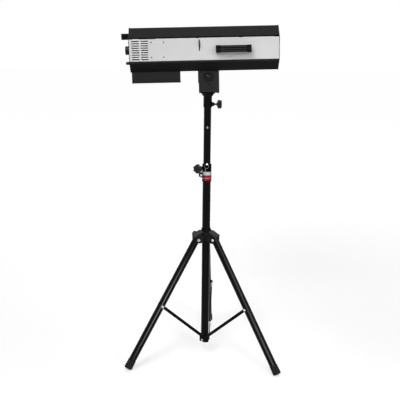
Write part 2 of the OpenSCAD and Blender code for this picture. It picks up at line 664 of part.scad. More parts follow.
// Snap-in switch frame with the bar that the rocker turns on
module switch_frame() color(dark) on_beam() {
    difference() {
        union() {
            slab_x(x_rear - 2, 2) translate(switch_yz) square(switch_cut + [5, 5], center = true);
            slab_x(x_rear - 0.1, 14) translate(switch_yz) square(switch_cut, center = true);
        }
        slab_x(x_rear - 3, 20) translate(switch_yz) square(switch_cut - [3, 3], center = true);
    }
    translate([x_rear, switch_yz[0], switch_yz[1]])
        rod_y(3, -switch_cut[0] / 2 + 0.5, switch_cut[0] / 2 - 0.5);
}
module power_switch() color("#7d1d22") on_beam() translate([x_rear, switch_yz[0], switch_yz[1]])
    difference() {
        slab_y(-6.7, 13.4) polygon([[9, -8], [9, 8], [-1, 10.6], [-1.6, 0], [-4.2, -10.2]]);
        rod_y(3 + 2 * run, -8, 8);
    }

lower_tube();
collar();
collar_bands();
bottom_fitting();
column_bolts();
crown();
crown_covers();
leg_pivot_bolts();
crown_knob();
for (k = [0 : 2]) {
    leg(k);
    foot(k);
    strut(k);
    strut_bolt(k);
}
upper_tube();
collar_knob();
lock_pin();
split_ring();
pin_lanyard();
stand_adapter();
adapter_knob();
saddle();
tilt_bolt();
tilt_knob();
top_profile();
bottom_profile();
side_panel_near();
side_panel_far();
front_plate();
rear_plate();
case_screws();
side_handles();
rear_handle();
driver_box();
led_driver();
heat_sink();
fan_frame();
fan_rotor();
led_module();
condenser_holder();
condenser_lens();
iris_housing();
iris_ring();
lens_rails();
lens_carriage();
focus_lens();
front_lens();
lens_ring();
mains_inlet();
fuse_holder();
dimmer_knob();
switch_frame();
power_switch();
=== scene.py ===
import json
import math

import bmesh
import bpy
from mathutils import Matrix, Vector

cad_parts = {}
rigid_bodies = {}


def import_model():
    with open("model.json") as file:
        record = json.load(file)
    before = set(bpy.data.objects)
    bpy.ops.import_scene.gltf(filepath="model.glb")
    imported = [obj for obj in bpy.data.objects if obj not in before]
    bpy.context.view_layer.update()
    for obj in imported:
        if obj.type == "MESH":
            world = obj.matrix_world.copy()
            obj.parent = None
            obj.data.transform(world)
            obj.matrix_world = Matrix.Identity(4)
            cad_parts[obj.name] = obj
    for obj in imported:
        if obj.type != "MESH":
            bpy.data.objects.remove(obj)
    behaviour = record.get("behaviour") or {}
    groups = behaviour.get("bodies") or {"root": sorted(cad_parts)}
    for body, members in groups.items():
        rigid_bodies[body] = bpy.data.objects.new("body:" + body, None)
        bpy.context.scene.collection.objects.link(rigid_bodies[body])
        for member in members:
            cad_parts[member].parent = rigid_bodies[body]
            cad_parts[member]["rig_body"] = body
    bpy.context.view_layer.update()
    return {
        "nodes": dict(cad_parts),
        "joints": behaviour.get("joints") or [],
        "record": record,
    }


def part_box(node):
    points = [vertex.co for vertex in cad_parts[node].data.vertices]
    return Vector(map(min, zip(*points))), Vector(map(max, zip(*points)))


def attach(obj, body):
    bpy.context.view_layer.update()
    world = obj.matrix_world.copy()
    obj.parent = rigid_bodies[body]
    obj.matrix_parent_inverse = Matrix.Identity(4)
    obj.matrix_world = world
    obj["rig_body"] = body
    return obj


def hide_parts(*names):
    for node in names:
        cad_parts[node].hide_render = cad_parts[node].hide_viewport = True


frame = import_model()

# Camera: level with the lamp, a little over three metres in front of the stand's near side.
# It looks slightly down and is turned by a fraction of a degree, as the hand-held view is.
eye = Vector((-0.081, -3.150, 1.553))
look_aside = math.radians(0.91)
look_down = math.radians(13.48)
look_roll = math.radians(0.58)
sensor_width = 36.0
focal_share = 675.4 / 400
flat_forward = Vector((math.sin(look_aside), math.cos(look_aside), 0))
forward = flat_forward * math.cos(look_down) - Vector((0, 0, math.sin(look_down)))
right = Vector((math.cos(look_aside), -math.sin(look_aside), 0))
up = right.cross(forward)
across = right * math.cos(look_roll) + up * math.sin(look_roll)
upright = up * math.cos(look_roll) - right * math.sin(look_roll)
camera_data = bpy.data.cameras.new("camera")
camera_data.sensor_width = sensor_width
camera_data.lens = sensor_width * focal_share
camera = bpy.data.objects.new("camera", camera_data)
camera.matrix_world = Matrix.Translation(eye) @ Matrix((across, upright, -forward)).transposed().to_4x4()
bpy.context.scene.collection.objects.link(camera)
bpy.context.scene.camera = camera
bpy.context.scene.view_settings.view_transform = "Standard"

# Wire lanyard: a short stranded steel cable, zinc plated and 1.4 mm thick. It is crimped into the
# collar's clamp ear and hangs in a slack bow up to the ring of the lock pin.
lanyard_wire = 0.0014
lanyard_route = [
    (-0.0220, -0.0100, 0.9296),
    (-0.0218, -0.0141, 0.9302),
    (-0.0211, -0.0172, 0.9308),
    (-0.0199, -0.0197, 0.9316),
    (-0.0183, -0.0218, 0.9326),
    (-0.0164, -0.0235, 0.9338),
    (-0.0143, -0.0249, 0.9352),
    (-0.0122, -0.0261, 0.9370),
    (-0.0104, -0.0271, 0.9390),
    (-0.0090, -0.0279, 0.9412),
    (-0.0080, -0.0285, 0.9436),
    (-0.0076, -0.0289, 0.9462),
    (-0.0077, -0.0292, 0.9488),
    (-0.0080, -0.0293, 0.9514),
    (-0.0082, -0.0292, 0.9540),
    (-0.0080, -0.0290, 0.9566),
]


def surface(name, light, dark, rough, grain, bump=0.0, metal=0.0, gloss=0.5, stretch=(1, 1, 1), edge_wear_and_highlight=0.0):
    """A finish on Object coordinates. Noise of so many grains per metre drifts between two colours and two
    roughnesses and lifts a bump of so many metres. Edge wear and highlight pales the rounded edges, as rubbed
    wear and as a painted highlight along them. Returns the material."""
    material = bpy.data.materials.new(name)
    material.use_nodes = True
    nodes = material.node_tree.nodes
    links = material.node_tree.links
    shader = nodes["Principled BSDF"]
    shader.inputs["Metallic"].default_value = metal
    shader.inputs["Specular IOR Level"].default_value = gloss
    place = nodes.new("ShaderNodeTexCoord")
    place.name = "place"
    scaled = nodes.new("ShaderNodeMapping")
    scaled.inputs["Scale"].default_value = stretch
    links.new(place.outputs["Object"], scaled.inputs["Vector"])
    noise = nodes.new("ShaderNodeTexNoise")
    noise.inputs["Scale"].default_value = grain
    noise.inputs["Detail"].default_value = 4.0
    noise.inputs["Roughness"].default_value = 0.6
    links.new(scaled.outputs["Vector"], noise.inputs["Vector"])
    tint = nodes.new("ShaderNodeMix")
    tint.name = "tint"
    tint.data_type = "RGBA"
    tint.inputs["A"].default_value = (*dark, 1)
    tint.inputs["B"].default_value = (*light, 1)
    links.new(noise.outputs["Fac"], tint.inputs["Factor"])
    links.new(tint.outputs["Result"], shader.inputs["Base Color"])
    dull = nodes.new("ShaderNodeMapRange")
    dull.inputs["From Min"].default_value = 0.3
    dull.inputs["From Max"].default_value = 0.7
    dull.inputs["To Min"].default_value = rough[0]
    dull.inputs["To Max"].default_value = rough[1]
    links.new(noise.outputs["Fac"], dull.inputs["Value"])
    links.new(dull.outputs["Result"], shader.inputs["Roughness"])
    if bump:
        lift = nodes.new("ShaderNodeBump")
        lift.inputs["Distance"].default_value = bump
        links.new(noise.outputs["Fac"], lift.inputs["Height"])
        links.new(lift.outputs["Normal"], shader.inputs["Normal"])
    # Rounded edges are paled, partly as rubbed wear and partly as a painted highlight along the edges.
    if edge_wear_and_highlight:
        wear_and_highlight_pale = [min(1, channel * 6 + 0.02) for channel in light]
        edge = nodes.new("ShaderNodeMapRange")
        edge.inputs["From Min"].default_value = 0.52
        edge.inputs["From Max"].default_value = 0.62
        edge.inputs["To Max"].default_value = edge_wear_and_highlight
        links.new(nodes.new("ShaderNodeNewGeometry").outputs["Pointiness"], edge.inputs["Value"])
        overlay(material, edge.outputs["Result"], wear_and_highlight_pale)
    return material


def overlay(material, mask, colour):
    """Lays a flat colour over what the finish shows so far, wherever the mask socket is 1."""
    nodes = material.node_tree.nodes
    links = material.node_tree.links
    base = nodes["Principled BSDF"].inputs["Base Color"]
    layer = nodes.new("ShaderNodeMix")
    layer.data_type = "RGBA"
    layer.inputs["B"].default_value = (*colour, 1)
    links.new(base.links[0].from_socket, layer.inputs["A"])
    links.new(mask, layer.inputs["Factor"])
    links.new(layer.outputs["Result"], base)


zinc = surface("bright_zinc", (0.54, 0.55, 0.56), (0.36, 0.37, 0.38), (0.24, 0.40), 240, bump=0.00004,
               metal=1.0)
lanyard_line = bpy.data.curves.new("lanyard_wire", "CURVE")
lanyard_line.dimensions = "3D"
lanyard_line.bevel_depth = lanyard_wire / 2
lanyard_line.bevel_resolution = 3
lanyard_line.use_fill_caps = True
lanyard_bow = lanyard_line.splines.new("BEZIER")
lanyard_bow.bezier_points.add(len(lanyard_route) - 1)
for knot, spot in zip(lanyard_bow.bezier_points, lanyard_route):
    knot.co = spot
    knot.handle_left_type = "AUTO"
    knot.handle_right_type = "AUTO"
lanyard_line.materials.append(zinc)
lanyard = bpy.data.objects.new("lanyard_wire", lanyard_line)
bpy.context.scene.collection.objects.link(lanyard)
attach(lanyard, "column")
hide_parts("pin_lanyard")

# Studio: a pale floor that keeps the soft shadow, and a white surround. Soft boxes stand above, high on
# the left, behind and on the right, and two with grids throw a narrow light on the legs. The level is one
# at which a colour renders about as it is written.
floor_half = 30.0
floor_white = (0.62, 0.62, 0.62, 1)
floor_glow = (0.43, 0.80)
floor_glow_span = (0.8, 5.0)
surround_light = 0.30
soft_boxes = [
    ("top_light", (0.0, -0.3, 4.3), (0.0, 0.0, 0.5), (1.8, 1.8), 34, 180),
    ("key_light", (-1.3, -2.7, 3.8), (0.0, 0.0, 1.2), (1.6, 1.6), 90, 180),
    ("back_light", (0.6, 3.3, 3.4), (0.0, 0.0, 1.0), (1.5, 1.5), 26, 180),
    ("fill_light", (2.3, -2.3, 2.4), (0.0, 0.0, 1.0), (0.9, 0.9), 11, 180),
    ("low_box", (0.0, -3.3, 0.50), (-0.15, -0.1, 0.30), (1.3, 0.95), 2.8, 20),
    ("side_box", (1.6, -3.3, 1.75), (0.2, -0.1, 0.40), (0.6, 1.7), 3.0, 26),
]
floor_mesh = bmesh.new()
bmesh.ops.create_grid(floor_mesh, x_segments=1, y_segments=1, size=floor_half)
floor_data = bpy.data.meshes.new("floor")
floor_mesh.to_mesh(floor_data)
floor_mesh.free()
floor_paint = bpy.data.materials.new("floor_paint")
floor_paint.use_nodes = True
floor_nodes = floor_paint.node_tree.nodes
floor_links = floor_paint.node_tree.links
floor_shader = floor_nodes["Principled BSDF"]
floor_shader.inputs["Base Color"].default_value = floor_white
floor_shader.inputs["Roughness"].default_value = 0.9
floor_shader.inputs["Specular IOR Level"].default_value = 0.0
floor_shader.inputs["Emission Color"].default_value = (1, 1, 1, 1)
floor_ray = floor_nodes.new("ShaderNodeLightPath")
floor_place = floor_nodes.new("ShaderNodeTexCoord")
floor_reach = floor_nodes.new("ShaderNodeVectorMath")
floor_reach.operation = "LENGTH"
floor_level = floor_nodes.new("ShaderNodeMapRange")
floor_level.inputs["From Min"].default_value = floor_glow_span[0]
floor_level.inputs["From Max"].default_value = floor_glow_span[1]
floor_level.inputs["To Min"].default_value = floor_glow[0]
floor_level.inputs["To Max"].default_value = floor_glow[1]
floor_seen = floor_nodes.new("ShaderNodeMath")
floor_seen.operation = "MULTIPLY"
floor_links.new(floor_place.outputs["Object"], floor_reach.inputs["Vector"])
floor_links.new(floor_reach.outputs["Value"], floor_level.inputs["Value"])
floor_links.new(floor_level.outputs["Result"], floor_seen.inputs[0])
floor_direct = floor_nodes.new("ShaderNodeMath")
floor_direct.operation = "MAXIMUM"
floor_mirrored = floor_nodes.new("ShaderNodeMath")
floor_mirrored.operation = "MAXIMUM"
floor_links.new(floor_ray.outputs["Is Camera Ray"], floor_direct.inputs[0])
floor_links.new(floor_ray.outputs["Is Transmission Ray"], floor_direct.inputs[1])
floor_links.new(floor_direct.outputs["Value"], floor_mirrored.inputs[0])
floor_links.new(floor_ray.outputs["Is Glossy Ray"], floor_mirrored.inputs[1])
floor_links.new(floor_mirrored.outputs["Value"], floor_seen.inputs[1])
floor_links.new(floor_seen.outputs["Value"], floor_shader.inputs["Emission Strength"])
floor_data.materials.append(floor_paint)
floor = bpy.data.objects.new("floor", floor_data)
bpy.context.scene.collection.objects.link(floor)
for name, place, target, sides, power, spread in soft_boxes:
    lamp_data = bpy.data.lights.new(name, "AREA")
    lamp_data.shape = "RECTANGLE"
    lamp_data.size = sides[0]
    lamp_data.size_y = sides[1]
    lamp_data.energy = power
    lamp_data.spread = math.radians(spread)
    soft_box = bpy.data.objects.new(name, lamp_data)
    soft_box.location = place
    soft_box.rotation_euler = (Vector(target) - Vector(place)).to_track_quat("-Z", "Y").to_euler()
    bpy.context.scene.collection.objects.link(soft_box)
surround = bpy.data.worlds.new("surround")
surround.use_nodes = True
bpy.context.scene.world = surround
sky_nodes = surround.node_tree.nodes
sky_links = surround.node_tree.links
sky = sky_nodes["Background"]
sky.inputs["Color"].default_value = (1, 1, 1, 1)
ray = sky_nodes.new("ShaderNodeLightPath")
seen = sky_nodes.new("ShaderNodeMath")
seen.operation = "MAXIMUM"
mirrored = sky_nodes.new("ShaderNodeMath")
mirrored.operation = "MAXIMUM"
sky_level = sky_nodes.new("ShaderNodeMapRange")
sky_level.inputs["To Min"].default_value = surround_light
sky_links.new(ray.outputs["Is Camera Ray"], seen.inputs[0])
sky_links.new(ray.outputs["Is Transmission Ray"], seen.inputs[1])
sky_links.new(seen.outputs["Value"], mirrored.inputs[0])
sky_links.new(ray.outputs["Is Glossy Ray"], mirrored.inputs[1])
sky_links.new(mirrored.outputs["Value"], sky_level.inputs["Value"])
sky_links.new(sky_level.outputs["Result"], sky.inputs["Strength"])

# Mast foot: the lower tube is welded steel tube in glossy black paint, its end closed by a cast
# three-sided plug. Zinc pivot bolts go through the strut bars into the plug.
tube_paint = surface("tube_paint", (0.0012, 0.0012, 0.0013), (0.0007, 0.0007, 0.0008), (0.11, 0.15), 160,
                     bump=0.000006, gloss=0.07)
cast_black = surface("cast_black", (0.0010, 0.0010, 0.0011), (0.0006, 0.0006, 0.0007), (0.36, 0.50), 700,
                     bump=0.00004, gloss=0.02, edge_wear_and_highlight=0.35)


def dressed(finish, *nodes):
    """Gives solids whose shape is right a finish in place of the plain one."""
    for node in nodes:
        frame["nodes"][node].material_slots[0].material = finish


def made(name, shape, finish, body, slot, *stands_for):
    """Turns a finished bmesh into a piece: smooth across rounded edges, in its finish, on its body."""
    mesh = bpy.data.meshes.new(name)
    shape.to_mesh(mesh)
    shape.free()
    if "custom_normal" in mesh.attributes:
        mesh.attributes.remove(mesh.attributes["custom_normal"])
    mesh.shade_smooth()
    mesh.set_sharp_from_angle(angle=math.radians(34))
    mesh.materials.clear()
    mesh.materials.append(finish)
    thing = bpy.data.objects.new(name, mesh)
    bpy.context.scene.collection.objects.link(thing)
    flat = thing.modifiers.new("flat_faces", "WEIGHTED_NORMAL")
    flat.keep_sharp = True
    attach(thing, body)
    if stands_for:
        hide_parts(*stands_for)
    return thing


def softened(node, finish, edge, segments=2):
    """Stands a copy of a solid in for it, with every sharp edge rounded over by so many metres."""
    part = frame["nodes"][node]
    slot = next(s["material_slot"] for s in frame["record"]["subparts"] if s["node"] == node)
    shape = bmesh.new()
    shape.from_mesh(part.data)
    bmesh.ops.remove_doubles(shape, verts=shape.verts, dist=2e-6)
    bmesh.ops.dissolve_limit(shape, angle_limit=math.radians(0.5), verts=shape.verts, edges=shape.edges)
    sharp = [e for e in shape.edges if e.is_manifold and e.calc_face_angle() > math.radians(28)]
    bmesh.ops.bevel(shape, geom=sharp, offset=edge, segments=segments, profile=0.5, affect="EDGES",
                    clamp_overlap=True, material=-1)
    return made("soft_" + node, shape, finish, part["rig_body"], slot, node)


dressed(tube_paint, "lower_tube")
softened("bottom_fitting", cast_black, 0.0008)
dressed(zinc, "column_bolts")

# Collar: a cast sleeve pinched round the lower tube by its clamp ears, with a wrapped band of printed
# film, a white stripe above a red one, and a paler line drawn round the red one's middle.
collar_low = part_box("collar")[0].z
red_top = collar_low + 0.032
white_top = red_top + 0.030
pale_line = collar_low + 0.0175
pale_line_half = 0.0009
stripe_white = (0.44, 0.43, 0.42)
pale_line_colour = (0.62, 0.34, 0.33)
softened("collar", cast_black, 0.0007)
band_film = surface("band_film", (0.20, 0.008, 0.011), (0.155, 0.006, 0.008), (0.42, 0.55), 300, bump=0.00002,
                    gloss=0.12)


def height_mask(material, low, high):
    """A mask that is 1 between two heights of the row frame, read from Object coordinates."""
    nodes = material.node_tree.nodes
    links = material.node_tree.links
    split = nodes.new("ShaderNodeSeparateXYZ")
    links.new(nodes["place"].outputs["Object"], split.inputs["Vector"])
    mask = nodes.new("ShaderNodeMath")
    mask.operation = "COMPARE"
    mask.inputs[1].default_value = (low + high) / 2
    mask.inputs[2].default_value = (high - low) / 2
    links.new(split.outputs["Z"], mask.inputs[0])
    return mask.outputs["Value"]


overlay(band_film, height_mask(band_film, red_top - 0.0001, white_top), stripe_white)
# A paler line is laid round the middle of the red stripe.
overlay(band_film, height_mask(band_film, pale_line - pale_line_half, pale_line + pale_line_half), pale_line_colour)
dressed(band_film, "collar_bands")

# Tripod crown: an aluminium casting that slides on the lower tube, with moulded caps over its three
# arms, zinc leg pivots and a lobed lock knob at the back.
moulded_black = surface("moulded_black", (0.0040, 0.0040, 0.0042), (0.0026, 0.0026, 0.0028), (0.26, 0.36),
                        1500, bump=0.00002, gloss=0.16, edge_wear_and_highlight=0.35)
softened("crown", cast_black, 0.0012)
cap_black = surface("cap_black", (0.0022, 0.0022, 0.0023), (0.0014, 0.0014, 0.0015), (0.20, 0.30), 900,
                    bump=0.00002, gloss=0.10, edge_wear_and_highlight=0.40)
softened("crown_covers", cap_black, 0.0009)
dressed(zinc, "leg_pivot_bolts")


def joint_line(name):
    """A joint's point and its axis, in the row frame."""
    joint = next(j for j in frame["joints"] if j["name"] == name)
    return Vector(joint["pos_m"]), Vector(joint["axis"]).normalized()


def turned(shape, outline, base, axis, steps=48):
    """Spins an outline of (radius, height) pairs in metres round the axis through base."""
    side = axis.orthogonal().normalized()
    chain = [shape.verts.new(base + side * r + axis * h) for r, h in outline]
    line = [shape.edges.new(pair) for pair in zip(chain, chain[1:])]
    bmesh.ops.spin(shape, geom=chain + line, cent=base, axis=axis, angle=math.tau, steps=steps,
                   use_merge=True)
    bmesh.ops.remove_doubles(shape, verts=shape.verts, dist=1e-6)
    bmesh.ops.dissolve_degenerate(shape, edges=shape.edges, dist=1e-7)
    bmesh.ops.recalc_face_normals(shape, faces=shape.faces)


def millimetres(*pairs):
    """Outline pairs written in millimetres, in metres."""
    return [(r / 1000, h / 1000) for r, h in pairs]


def knob(node, outline, lobes, depth, grip, base, axis, steps=96):
    """A turned knob whose rim, outside the grip radius, is drawn in between its lobes by the depth."""
    shape = bmesh.new()
    turned(shape, outline, base, axis, steps)
    rim = max(r for r, h in outline)
    side = axis.orthogonal().normalized()
    for vert in shape.verts:
        height = (vert.co - base).dot(axis)
        spoke = vert.co - base - axis * height
        if spoke.length > grip:
            turn = math.atan2(spoke.dot(axis.cross(side)), spoke.dot(side))
            share = (spoke.length - grip) / (rim - grip)
            drawn = depth * share * (0.5 - 0.5 * math.cos(lobes * turn))
            vert.co = base + axis * height + spoke * (1 - drawn / spoke.length)
    body = frame["nodes"][node]["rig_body"]
    return made("turned_" + node, shape, moulded_black, body, "black_plastic", node)


def star_outline(stud, head, height):
    """Stud, conical hub and domed star head of a hand knob, from the stud's tip."""
    r = head / 2
    return millimetres(
        (0, 0), (4, 0), (4, stud - 7), (5.5, stud - 6), (r * 0.55, stud), (r * 0.86, stud + 0.2),
        (r * 0.95, stud + 1), (r * 0.99, stud + 3), (r, stud + height * 0.4), (r * 0.99, stud + height * 0.7),
        (r * 0.94, stud + height - 2), (r * 0.85, stud + height - 0.6), (r * 0.55, stud + height),
        (r * 0.52, stud + height + 1.6), (r * 0.42, stud + height + 2), (0, stud + height + 2))


stud_gap = 0.0003
lower_radius = 0.0195
upper_radius = 0.01725
lock_at, lock_axis = joint_line("crown_knob_turn")
knob("crown_knob", star_outline(40, 30, 15), lobes=5, depth=0.0038, grip=0.0083,
     base=lock_at + lock_axis * (lower_radius + stud_gap), axis=lock_axis)

# Legs: three black painted steel tubes that hang from the crown's pivots. Each carries a bright nut on
# the outer side of the strut bolt and a ribbed rubber foot pushed over its end, worn flat on the floor.
leg_names = ("1", "2", "3")
foot_reach = 0.412
foot_height = 0.0075
foot_length = 0.043
strut_along = 0.363
leg_radius = 0.0175
nut_sunk = 0.0006
rubber = surface("rubber", (0.0055, 0.0055, 0.0057), (0.0034, 0.0034, 0.0036), (0.62, 0.80), 1100,
                 bump=0.00006, gloss=0.12)
foot_outline = millimetres(
    (0, 36), (17.5, 36), (17.5, 0.2), (18.7, 0), (19.4, 0.7), (19.5, 2.2), (19.4, 3.8), (18.7, 4.6),
    (18.5, 6), (18.7, 13), (19.3, 14.2), (19.3, 16.2), (18.7, 17), (18.7, 19), (19.3, 20), (19.3, 22),
    (18.7, 23), (18.7, 25), (19.3, 26), (19.4, 28), (19.5, 37), (19.2, 40.4), (18.2, 42.4), (16.6, 43),
    (0, 43))
nut_outline = millimetres(
    (0, 0), (7.1, 0), (7.1, 4.8), (6.2, 5.6), (3.2, 5.6), (3.2, 7), (2.4, 7.6), (0, 7.6))
for name in leg_names:
    leg_node = "leg_" + name
    pivot, hinge = joint_line(leg_node + "_fold")
    outward = Vector((pivot.x, pivot.y, 0)).normalized()
    foot_middle = outward * foot_reach + Vector((0, 0, foot_height))
    down = (foot_middle - pivot).normalized()
    dressed(tube_paint, leg_node)
    foot = bmesh.new()
    turned(foot, foot_outline, foot_middle - down * foot_length, down, steps=64)
    whole_foot = foot.verts[:] + foot.edges[:] + foot.faces[:]
    sole = bmesh.ops.bisect_plane(foot, geom=whole_foot, plane_co=(0, 0, 0), plane_no=(0, 0, -1),
                                  clear_outer=True, dist=1e-6)
    rim = [g for g in sole["geom_cut"] if isinstance(g, bmesh.types.BMEdge)]
    bmesh.ops.edgeloop_fill(foot, edges=rim)
    made("foot_cap_" + name, foot, rubber, leg_node, "rubber", "foot_" + name)
    nut = bmesh.new()
    turned(nut, nut_outline, pivot + down * strut_along + hinge * (leg_radius - nut_sunk), hinge, steps=6)
    made("strut_nut_" + name, nut, zinc, leg_node, "bright_zinc")

# Struts: flat steel bars with a pressed groove, painted like the tubes. They turn on the bolts in the
# mast foot and are bolted to the legs through a spacer with domed zinc screws.
for name in leg_names:
    softened("strut_" + name, tube_paint, 0.0006)
    dressed(zinc, "strut_bolt_" + name)

# Upper tube: the same painted steel, drilled across for the lock pin. The drill left a ring of bare
# bright steel round each hole.
hole_pitch = 0.171
hole_rim = 0.0043
bare_steel = (0.55, 0.55, 0.56)
pin_height = sum(corner.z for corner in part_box("lock_pin")) / 2
bored_paint = tube_paint.copy()
bored_paint.name = "bored_tube_paint"
bored_nodes = bored_paint.node_tree.nodes
bored_links = bored_paint.node_tree.links
bored_split = bored_nodes.new("ShaderNodeSeparateXYZ")
bored_links.new(bored_nodes["place"].outputs["Object"], bored_split.inputs["Vector"])
above = bored_nodes.new("ShaderNodeMath")
above.operation = "SUBTRACT"
above.inputs[1].default_value = pin_height
bored_links.new(bored_split.outputs["Z"], above.inputs[0])
from_hole = bored_nodes.new("ShaderNodeMath")
from_hole.operation = "WRAP"
from_hole.inputs[1].default_value = hole_pitch / 2
from_hole.inputs[2].default_value = -hole_pitch / 2
bored_links.new(above.outputs["Value"], from_hole.inputs[0])
spread = bored_nodes.new("ShaderNodeCombineXYZ")
bored_links.new(bored_split.outputs["X"], spread.inputs["X"])
bored_links.new(from_hole.outputs["Value"], spread.inputs["Z"])
distance = bored_nodes.new("ShaderNodeVectorMath")
distance.operation = "LENGTH"
bored_links.new(spread.outputs["Vector"], distance.inputs["Vector"])
bare = bored_nodes.new("ShaderNodeMath")
bare.operation = "LESS_THAN"
bare.inputs[1].default_value = hole_rim
bored_links.new(distance.outputs["Value"], bare.inputs[0])
overlay(bored_paint, bare.outputs["Value"], bare_steel)
bored_links.new(bare.outputs["Value"], bored_nodes["Principled BSDF"].inputs["Metallic"])
dressed(bored_paint, "upper_tube")

# Lock pin: a zinc plated steel pin through tube and collar, with a split ring wound twice from spring
# wire through its eye.
ring_low, ring_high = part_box("split_ring")
ring_middle = (ring_low + ring_high) / 2
ring_wire = 0.0008
ring_radius = (ring_high.x - ring_low.x) / 2 - ring_wire / 2
ring = bmesh.new()
ring_start = ring_middle + Vector((ring_radius, -ring_wire / 2, 0))
bmesh.ops.create_circle(ring, segments=8, radius=ring_wire / 2, cap_ends=True,
                        matrix=Matrix.Translation(ring_start))
ring_steps = 96
bmesh.ops.spin(ring, geom=ring.verts[:] + ring.edges[:] + ring.faces[:], cent=ring_middle, axis=(0, 1, 0),
               dvec=(0, ring_wire / ring_steps, 0), angle=2 * math.tau, steps=ring_steps, use_merge=False)
bmesh.ops.recalc_face_normals(ring, faces=ring.faces)
made("split_ring_coil", ring, zinc, "lock_pin", "bright_zinc", "split_ring")
dressed(zinc, "lock_pin")

# Collar knob: a six-lobed star knob moulded on a steel stud, which clamps the upper tube.
collar_knob_at, collar_knob_axis = joint_line("collar_knob_turn")
knob("collar_knob", star_outline(34, 44, 23), lobes=6, depth=0.0057, grip=0.0121,
     base=collar_knob_at + collar_knob_axis * (upper_radius + stud_gap), axis=collar_knob_axis)

# Stand adapter: a welded sleeve and funnel with a fork of thick sheet, painted black, which slips over
# the upper tube and is clamped by a fluted knob on its stud.
softened("stand_adapter", tube_paint, 0.0009)
clamp_at, clamp_axis = joint_line("adapter_knob_turn")
clamp_outline = millimetres(
    (0, 0), (4, 0), (4, 23), (5.5, 23.5), (15, 28.5), (18.4, 28.9), (19.6, 30.1), (20, 32.5), (20, 43.5),
    (19.5, 45.5), (18, 46.5), (16.6, 46.7), (15.6, 47.7), (14, 48), (0, 48))
knob("adapter_knob", clamp_outline, lobes=12, depth=0.0014, grip=0.0155,
     base=clamp_at + clamp_axis * (upper_radius + stud_gap), axis=clamp_axis)

# Saddle: 3 mm steel sheet bent to a bridge under the case and powder coated. It swings on one large
# bolt with wide washers, and a lobed knob on the far side clamps it.
powder_black = surface("powder_black", (0.0135, 0.0135, 0.0140), (0.0090, 0.0090, 0.0094), (0.54, 0.70), 1300,
                       bump=0.00008, gloss=0.12, edge_wear_and_highlight=0.2)
softened("saddle", powder_black, 0.0007)
tilt_at, tilt_axis = joint_line("tilt_knob_turn")
tilt_middle = Vector((0, 0, tilt_at.z))
cheek_face = 0.044
near_face = tilt_middle - tilt_axis * cheek_face
far_face = tilt_middle + tilt_axis * cheek_face
knob_gap = 0.0023
bolt_outline = millimetres(
    (0, -66), (6, -66), (6, -0.5), (25.4, -0.4), (26, 0), (26, 0.8), (25.6, 1.2), (10, 1.2), (10, 3.2),
    (12, 3.3), (12, 8.2), (11.6, 9), (9.6, 10.2), (7.2, 11.2), (4.8, 11.9), (4, 11.9), (3.6, 11.2),
    (3.4, 8.6), (0, 8.4))
plate_outline = millimetres(
    (10.2, 1), (18, 1), (18.5, 1.5), (18.5, 2.7), (18, 3.2), (10.8, 3.2), (10.2, 2.8))
polished_black = surface("polished_black", (0.0036, 0.0036, 0.0038), (0.0024, 0.0024, 0.0026), (0.14, 0.24),
                         900, gloss=0.22)
near_bolt = bmesh.new()
turned(near_bolt, bolt_outline, near_face, -tilt_axis, steps=64)
made("tilt_bolt_near", near_bolt, polished_black, "lamp", "black_steel", "tilt_bolt")
near_plate = bmesh.new()
turned(near_plate, plate_outline, near_face, -tilt_axis, steps=64)
made("tilt_washer_near", near_plate, cap_black, "lamp", "black_steel")
far_washer = bmesh.new()
washer_outline = millimetres(
    (0, -22), (6, -22), (6, 0), (21.2, 0), (21.5, 0.4), (21.5, 1.6), (21.2, 2), (6, 2), (6, 21), (0, 21))
turned(far_washer, washer_outline, far_face, tilt_axis, steps=64)
made("tilt_bolt_far", far_washer, moulded_black, "lamp", "black_steel")
tilt_outline = millimetres(
    (6.1, 20.8), (6.1, 0), (12.4, 0), (13, 0.6), (13, 8), (20, 8.2), (23.4, 9), (24.8, 11), (25, 14),
    (25, 20), (24.6, 22.6), (23, 24.4), (20, 25), (8, 25), (0, 25))
knob("tilt_knob", tilt_outline, lobes=6, depth=0.0052, grip=0.0133, base=far_face + tilt_axis * knob_gap,
     axis=tilt_axis)

# Case extrusions: two long black anodised aluminium profiles with sloped faces, which close the case
# above and below. Faint die lines run along them.
anodised = surface("anodised_black", (0.0046, 0.0046, 0.0048), (0.0032, 0.0032, 0.0034), (0.40, 0.52), 420,
                   bump=0.00002, gloss=0.05, stretch=(0.02, 1, 1), edge_wear_and_highlight=0.25)
softened("top_profile", anodised, 0.0008)
softened("bottom_profile", anodised, 0.0008)

# Side panels: thin aluminium sheet, folded top and bottom and sprayed satin white, with punched vent
# slots. A short lip is pressed out over every slot.
panel_spray = surface("panel_spray", (0.655, 0.655, 0.655), (0.61, 0.61, 0.61), (0.40, 0.50), 18, gloss=0.35)
spray_nodes = panel_spray.node_tree.nodes
spray_links = panel_spray.node_tree.links
spray_grain = spray_nodes.new("ShaderNodeTexNoise")
spray_grain.inputs["Scale"].default_value = 1600
spray_lift = spray_nodes.new("ShaderNodeBump")
spray_lift.inputs["Distance"].default_value = 0.00003
spray_links.new(spray_nodes["place"].outputs["Object"], spray_grain.inputs["Vector"])
spray_links.new(spray_grain.outputs["Fac"], spray_lift.inputs["Height"])
spray_links.new(spray_lift.outputs["Normal"], spray_nodes["Principled BSDF"].inputs["Normal"])
softened("side_panel_near", panel_spray, 0.0004)
softened("side_panel_far", panel_spray, 0.0004)
beam = Vector(next(j for j in frame["joints"] if j["name"] == "focus_slide")["axis"]).normalized()
nose_up = Matrix.Rotation(-math.atan2(beam.z, beam.x), 4, "Y")
axis_lift = 0.1235
beam_frame = Matrix.Translation(tilt_middle) @ nose_up @ Matrix.Translation((0, 0, axis_lift))
case_half = 0.097
vent_left = (-0.3365, -0.2963)
vent_width = 0.0324
